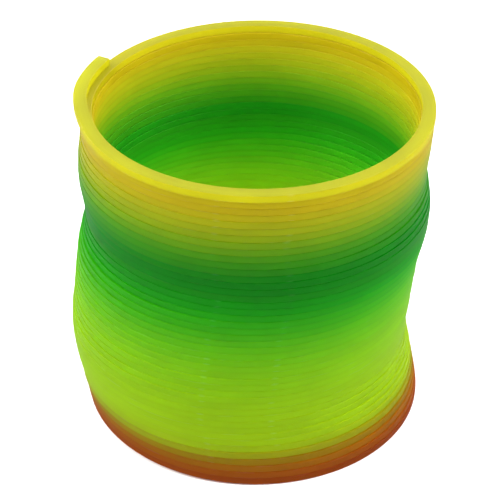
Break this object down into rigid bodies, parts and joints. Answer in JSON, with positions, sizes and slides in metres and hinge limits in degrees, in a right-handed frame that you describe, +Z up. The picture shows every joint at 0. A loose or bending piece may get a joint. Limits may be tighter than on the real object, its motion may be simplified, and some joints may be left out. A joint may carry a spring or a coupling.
{
  "type": "spring coil toy",
  "caption": "Closed coil of flat plastic strip, a toy spring that stands on its lowest turn, stretches upwards and arches to either side; the dye fades through green.",
  "frame": {"origin": "centre of the closed coil's bounding box, on the surface that it stands on", "axes": "+Z up along the closed coil; the strip twists where it crosses -X and +X, so the coil arches in the XZ plane; Y runs from front to back, with the viewer at -Y"},
  "size_m": [0.0686, 0.0656, 0.0647],
  "materials": {
    "orange_brown": "smooth semi-gloss moulded plastic, slightly see-through, its dye fading from turn to turn",
    "lime": "smooth semi-gloss moulded plastic, slightly see-through, its dye fading from turn to turn",
    "green": "smooth semi-gloss moulded plastic, slightly see-through, its dye fading from turn to turn",
    "amber": "smooth semi-gloss moulded plastic, slightly see-through, its dye fading from turn to turn",
    "yellow": "smooth semi-gloss moulded plastic, slightly see-through, its dye fading from turn to turn"
  },
  "bodies": {
    "base_turn": {"base_turn": "orange_brown"},
    "coil_01": {"coil_01": "orange_brown"},
    "half_01": {"half_01": "orange_brown"},
    "coil_02": {"coil_02": "orange_brown"},
    "half_02": {"half_02": "orange_brown"},
    "coil_03": {"coil_03": "lime"},
    "half_03": {"half_03": "lime"},
    "coil_04": {"coil_04": "lime"},
    "half_04": {"half_04": "lime"},
    "coil_05": {"coil_05": "lime"},
    "half_05": {"half_05": "lime"},
    "coil_06": {"coil_06": "lime"},
    "half_06": {"half_06": "lime"},
    "coil_07": {"coil_07": "lime"},
    "half_07": {"half_07": "lime"},
    "coil_08": {"coil_08": "lime"},
    "half_08": {"half_08": "lime"},
    "coil_09": {"coil_09": "lime"},
    "half_09": {"half_09": "lime"},
    "coil_10": {"coil_10": "lime"},
    "half_10": {"half_10": "lime"},
    "coil_11": {"coil_11": "lime"},
    "half_11": {"half_11": "green"},
    "coil_12": {"coil_12": "green"},
    "half_12": {"half_12": "green"},
    "coil_13": {"coil_13": "green"},
    "half_13": {"half_13": "green"},
    "coil_14": {"coil_14": "green"},
    "half_14": {"half_14": "green"},
    "coil_15": {"coil_15": "green"},
    "half_15": {"half_15": "green"},
    "coil_16": {"coil_16": "green"},
    "half_16": {"half_16": "green"},
    "coil_17": {"coil_17": "green"},
    "half_17": {"half_17": "green"},
    "coil_18": {"coil_18": "green"},
    "half_18": {"half_18": "amber"},
    "coil_19": {"coil_19": "amber"},
    "half_19": {"half_19": "amber"},
    "coil_20": {"coil_20": "amber"},
    "half_20": {"half_20": "amber"},
    "coil_21": {"coil_21": "amber"},
    "half_21": {"half_21": "amber"},
    "coil_22": {"coil_22": "yellow"},
    "free_end": {"free_end": "yellow"}
  },
  "joints": [
    {"name": "arch_minus_x_01", "type": "hinge", "parent": "base_turn", "child": "coil_01", "pos_m": [-0.03195, 0, 0.00191], "axis": [0, -1, 0], "range_deg": [0, 8], "stiffness_Nm_per_rad": 0.02},
    {"name": "arch_plus_x_01", "type": "hinge", "parent": "coil_01", "child": "half_01", "pos_m": [0.03316, 0, 0.00352], "axis": [0, 1, 0], "range_deg": [0, 8], "stiffness_Nm_per_rad": 0.02},
    {"name": "arch_minus_x_02", "type": "hinge", "parent": "half_01", "child": "coil_02", "pos_m": [-0.03256, 0, 0.00474], "axis": [0, -1, 0], "range_deg": [0, 8], "stiffness_Nm_per_rad": 0.02},
    {"name": "arch_plus_x_02", "type": "hinge", "parent": "coil_02", "child": "half_02", "pos_m": [0.0326, 0, 0.00662], "axis": [0, 1, 0], "range_deg": [0, 8], "stiffness_Nm_per_rad": 0.02},
    {"name": "arch_minus_x_03", "type": "hinge", "parent": "half_02", "child": "coil_03", "pos_m": [-0.03311, 0, 0.00756], "axis": [0, -1, 0], "range_deg": [0, 8], "stiffness_Nm_per_rad": 0.02},
    {"name": "arch_plus_x_03", "type": "hinge", "parent": "coil_03", "child": "half_03", "pos_m": [0.03202, 0, 0.00966], "axis": [0, 1, 0], "range_deg": [0, 8], "stiffness_Nm_per_rad": 0.02},
    {"name": "arch_minus_x_04", "type": "hinge", "parent": "half_03", "child": "coil_04", "pos_m": [-0.03368, 0, 0.01038], "axis": [0, -1, 0], "range_deg": [0, 8], "stiffness_Nm_per_rad": 0.02},
    {"name": "arch_plus_x_04", "type": "hinge", "parent": "coil_04", "child": "half_04", "pos_m": [0.03147, 0, 0.01249], "axis": [0, 1, 0], "range_deg": [0, 8], "stiffness_Nm_per_rad": 0.02},
    {"name": "arch_minus_x_05", "type": "hinge", "parent": "half_04", "child": "coil_05", "pos_m": [-0.03417, 0, 0.0132], "axis": [0, -1, 0], "range_deg": [0, 8], "stiffness_Nm_per_rad": 0.02},
    {"name": "arch_plus_x_05", "type": "hinge", "parent": "coil_05", "child": "half_05", "pos_m": [0.03094, 0, 0.01531], "axis": [0, 1, 0], "range_deg": [0, 8], "stiffness_Nm_per_rad": 0.02},
    {"name": "arch_minus_x_06", "type": "hinge", "parent": "half_05", "child": "coil_06", "pos_m": [-0.03434, 0, 0.01602], "axis": [0, -1, 0], "range_deg": [0, 8], "stiffness_Nm_per_rad": 0.02},
    {"name": "arch_plus_x_06", "type": "hinge", "parent": "coil_06", "child": "half_06", "pos_m": [0.03078, 0, 0.01813], "axis": [0, 1, 0], "range_deg": [0, 8], "stiffness_Nm_per_rad": 0.02},
    {"name": "arch_minus_x_07", "type": "hinge", "parent": "half_06", "child": "coil_07", "pos_m": [-0.03434, 0, 0.01884], "axis": [0, -1, 0], "range_deg": [0, 8], "stiffness_Nm_per_rad": 0.02},
    {"name": "arch_plus_x_07", "type": "hinge", "parent": "coil_07", "child": "half_07", "pos_m": [0.03113, 0, 0.02095], "axis": [0, 1, 0], "range_deg": [0, 8], "stiffness_Nm_per_rad": 0.02},
    {"name": "arch_minus_x_08", "type": "hinge", "parent": "half_07", "child": "coil_08", "pos_m": [-0.03414, 0, 0.02166], "axis": [0, -1, 0], "range_deg": [0, 8], "stiffness_Nm_per_rad": 0.02},
    {"name": "arch_plus_x_08", "type": "hinge", "parent": "coil_08", "child": "half_08", "pos_m": [0.03147, 0, 0.02377], "axis": [0, 1, 0], "range_deg": [0, 8], "stiffness_Nm_per_rad": 0.02},
    {"name": "arch_minus_x_09", "type": "hinge", "parent": "half_08", "child": "coil_09", "pos_m": [-0.03378, 0, 0.02448], "axis": [0, -1, 0], "range_deg": [0, 8], "stiffness_Nm_per_rad": 0.02},
    {"name": "arch_plus_x_09", "type": "hinge", "parent": "coil_09", "child": "half_09", "pos_m": [0.03176, 0, 0.02659], "axis": [0, 1, 0], "range_deg": [0, 8], "stiffness_Nm_per_rad": 0.02},
    {"name": "arch_minus_x_10", "type": "hinge", "parent": "half_09", "child": "coil_10", "pos_m": [-0.03346, 0, 0.0273], "axis": [0, -1, 0], "range_deg": [0, 8], "stiffness_Nm_per_rad": 0.02},
    {"name": "arch_plus_x_10", "type": "hinge", "parent": "coil_10", "child": "half_10", "pos_m": [0.03208, 0, 0.02941], "axis": [0, 1, 0], "range_deg": [0, 8], "stiffness_Nm_per_rad": 0.02},
    {"name": "arch_minus_x_11", "type": "hinge", "parent": "half_10", "child": "coil_11", "pos_m": [-0.03316, 0, 0.03012], "axis": [0, -1, 0], "range_deg": [0, 8], "stiffness_Nm_per_rad": 0.02},
    {"name": "arch_plus_x_11", "type": "hinge", "parent": "coil_11", "child": "half_11", "pos_m": [0.03247, 0, 0.03223], "axis": [0, 1, 0], "range_deg": [0, 8], "stiffness_Nm_per_rad": 0.02},
    {"name": "arch_minus_x_12", "type": "hinge", "parent": "half_11", "child": "coil_12", "pos_m": [-0.03283, 0, 0.03294], "axis": [0, -1, 0], "range_deg": [0, 8], "stiffness_Nm_per_rad": 0.02},
    {"name": "arch_plus_x_12", "type": "hinge", "parent": "coil_12", "child": "half_12", "pos_m": [0.03306, 0, 0.03505], "axis": [0, 1, 0], "range_deg": [0, 8], "stiffness_Nm_per_rad": 0.02},
    {"name": "arch_minus_x_13", "type": "hinge", "parent": "half_12", "child": "coil_13", "pos_m": [-0.0324, 0, 0.03576], "axis": [0, -1, 0], "range_deg": [0, 8], "stiffness_Nm_per_rad": 0.02},
    {"name": "arch_plus_x_13", "type": "hinge", "parent": "coil_13", "child": "half_13", "pos_m": [0.03372, 0, 0.03787], "axis": [0, 1, 0], "range_deg": [0, 8], "stiffness_Nm_per_rad": 0.02},
    {"name": "arch_minus_x_14", "type": "hinge", "parent": "half_13", "child": "coil_14", "pos_m": [-0.03177, 0, 0.03858], "axis": [0, -1, 0], "range_deg": [0, 8], "stiffness_Nm_per_rad": 0.02},
    {"name": "arch_plus_x_14", "type": "hinge", "parent": "coil_14", "child": "half_14", "pos_m": [0.03415, 0, 0.04069], "axis": [0, 1, 0], "range_deg": [0, 8], "stiffness_Nm_per_rad": 0.02},
    {"name": "arch_minus_x_15", "type": "hinge", "parent": "half_14", "child": "coil_15", "pos_m": [-0.03114, 0, 0.0414], "axis": [0, -1, 0], "range_deg": [0, 8], "stiffness_Nm_per_rad": 0.02},
    {"name": "arch_plus_x_15", "type": "hinge", "parent": "coil_15", "child": "half_15", "pos_m": [0.03417, 0, 0.04351], "axis": [0, 1, 0], "range_deg": [0, 8], "stiffness_Nm_per_rad": 0.02},
    {"name": "arch_minus_x_16", "type": "hinge", "parent": "half_15", "child": "coil_16", "pos_m": [-0.03102, 0, 0.04422], "axis": [0, -1, 0], "range_deg": [0, 8], "stiffness_Nm_per_rad": 0.02},
    {"name": "arch_plus_x_16", "type": "hinge", "parent": "coil_16", "child": "half_16", "pos_m": [0.03407, 0, 0.04633], "axis": [0, 1, 0], "range_deg": [0, 8], "stiffness_Nm_per_rad": 0.02},
    {"name": "arch_minus_x_17", "type": "hinge", "parent": "half_16", "child": "coil_17", "pos_m": [-0.03146, 0, 0.04704], "axis": [0, -1, 0], "range_deg": [0, 8], "stiffness_Nm_per_rad": 0.02},
    {"name": "arch_plus_x_17", "type": "hinge", "parent": "coil_17", "child": "half_17", "pos_m": [0.03365, 0, 0.04915], "axis": [0, 1, 0], "range_deg": [0, 8], "stiffness_Nm_per_rad": 0.02},
    {"name": "arch_minus_x_18", "type": "hinge", "parent": "half_17", "child": "coil_18", "pos_m": [-0.03173, 0, 0.04986], "axis": [0, -1, 0], "range_deg": [0, 8], "stiffness_Nm_per_rad": 0.02},
    {"name": "arch_plus_x_18", "type": "hinge", "parent": "coil_18", "child": "half_18", "pos_m": [0.03335, 0, 0.05197], "axis": [0, 1, 0], "range_deg": [0, 8], "stiffness_Nm_per_rad": 0.02},
    {"name": "arch_minus_x_19", "type": "hinge", "parent": "half_18", "child": "coil_19", "pos_m": [-0.03173, 0, 0.05268], "axis": [0, -1, 0], "range_deg": [0, 8], "stiffness_Nm_per_rad": 0.02},
    {"name": "arch_plus_x_19", "type": "hinge", "parent": "coil_19", "child": "half_19", "pos_m": [0.03367, 0, 0.05479], "axis": [0, 1, 0], "range_deg": [0, 8], "stiffness_Nm_per_rad": 0.02},
    {"name": "arch_minus_x_20", "type": "hinge", "parent": "half_19", "child": "coil_20", "pos_m": [-0.03158, 0, 0.0555], "axis": [0, -1, 0], "range_deg": [0, 8], "stiffness_Nm_per_rad": 0.02},
    {"name": "arch_plus_x_20", "type": "hinge", "parent": "coil_20", "child": "half_20", "pos_m": [0.03398, 0, 0.05761], "axis": [0, 1, 0], "range_deg": [0, 8], "stiffness_Nm_per_rad": 0.02},
    {"name": "arch_minus_x_21", "type": "hinge", "parent": "half_20", "child": "coil_21", "pos_m": [-0.03124, 0, 0.05832], "axis": [0, -1, 0], "range_deg": [0, 8], "stiffness_Nm_per_rad": 0.02},
    {"name": "arch_plus_x_21", "type": "hinge", "parent": "coil_21", "child": "half_21", "pos_m": [0.03408, 0, 0.06043], "axis": [0, 1, 0], "range_deg": [0, 8], "stiffness_Nm_per_rad": 0.02},
    {"name": "arch_minus_x_22", "type": "hinge", "parent": "half_21", "child": "coil_22", "pos_m": [-0.0312, 0, 0.06114], "axis": [0, -1, 0], "range_deg": [0, 8], "stiffness_Nm_per_rad": 0.02},
    {"name": "arch_plus_x_22", "type": "hinge", "parent": "coil_22", "child": "free_end", "pos_m": [0.03547, 0, 0.06325], "axis": [0, 1, 0], "range_deg": [0, 8], "stiffness_Nm_per_rad": 0.02}
  ],
  "couplings": [
    {"joint": "arch_minus_x_02", "follows": "arch_minus_x_01", "ratio": 1},
    {"joint": "arch_plus_x_02", "follows": "arch_plus_x_01", "ratio": 1},
    {"joint": "arch_minus_x_03", "follows": "arch_minus_x_01", "ratio": 1},
    {"joint": "arch_plus_x_03", "follows": "arch_plus_x_01", "ratio": 1},
    {"joint": "arch_minus_x_04", "follows": "arch_minus_x_01", "ratio": 1},
    {"joint": "arch_plus_x_04", "follows": "arch_plus_x_01", "ratio": 1},
    {"joint": "arch_minus_x_05", "follows": "arch_minus_x_01", "ratio": 1},
    {"joint": "arch_plus_x_05", "follows": "arch_plus_x_01", "ratio": 1},
    {"joint": "arch_minus_x_06", "follows": "arch_minus_x_01", "ratio": 1},
    {"joint": "arch_plus_x_06", "follows": "arch_plus_x_01", "ratio": 1},
    {"joint": "arch_minus_x_07", "follows": "arch_minus_x_01", "ratio": 1},
    {"joint": "arch_plus_x_07", "follows": "arch_plus_x_01", "ratio": 1},
    {"joint": "arch_minus_x_08", "follows": "arch_minus_x_01", "ratio": 1},
    {"joint": "arch_plus_x_08", "follows": "arch_plus_x_01", "ratio": 1},
    {"joint": "arch_minus_x_09", "follows": "arch_minus_x_01", "ratio": 1},
    {"joint": "arch_plus_x_09", "follows": "arch_plus_x_01", "ratio": 1},
    {"joint": "arch_minus_x_10", "follows": "arch_minus_x_01", "ratio": 1},
    {"joint": "arch_plus_x_10", "follows": "arch_plus_x_01", "ratio": 1},
    {"joint": "arch_minus_x_11", "follows": "arch_minus_x_01", "ratio": 1},
    {"joint": "arch_plus_x_11", "follows": "arch_plus_x_01", "ratio": 1},
    {"joint": "arch_minus_x_12", "follows": "arch_minus_x_01", "ratio": 1},
    {"joint": "arch_plus_x_12", "follows": "arch_plus_x_01", "ratio": 1},
    {"joint": "arch_minus_x_13", "follows": "arch_minus_x_01", "ratio": 1},
    {"joint": "arch_plus_x_13", "follows": "arch_plus_x_01", "ratio": 1},
    {"joint": "arch_minus_x_14", "follows": "arch_minus_x_01", "ratio": 1},
    {"joint": "arch_plus_x_14", "follows": "arch_plus_x_01", "ratio": 1},
    {"joint": "arch_minus_x_15", "follows": "arch_minus_x_01", "ratio": 1},
    {"joint": "arch_plus_x_15", "follows": "arch_plus_x_01", "ratio": 1},
    {"joint": "arch_minus_x_16", "follows": "arch_minus_x_01", "ratio": 1},
    {"joint": "arch_plus_x_16", "follows": "arch_plus_x_01", "ratio": 1},
    {"joint": "arch_minus_x_17", "follows": "arch_minus_x_01", "ratio": 1},
    {"joint": "arch_plus_x_17", "follows": "arch_plus_x_01", "ratio": 1},
    {"joint": "arch_minus_x_18", "follows": "arch_minus_x_01", "ratio": 1},
    {"joint": "arch_plus_x_18", "follows": "arch_plus_x_01", "ratio": 1},
    {"joint": "arch_minus_x_19", "follows": "arch_minus_x_01", "ratio": 1},
    {"joint": "arch_plus_x_19", "follows": "arch_plus_x_01", "ratio": 1},
    {"joint": "arch_minus_x_20", "follows": "arch_minus_x_01", "ratio": 1},
    {"joint": "arch_plus_x_20", "follows": "arch_plus_x_01", "ratio": 1},
    {"joint": "arch_minus_x_21", "follows": "arch_minus_x_01", "ratio": 1},
    {"joint": "arch_plus_x_21", "follows": "arch_plus_x_01", "ratio": 1},
    {"joint": "arch_minus_x_22", "follows": "arch_minus_x_01", "ratio": 1},
    {"joint": "arch_plus_x_22", "follows": "arch_plus_x_01", "ratio": 1}
  ]
}
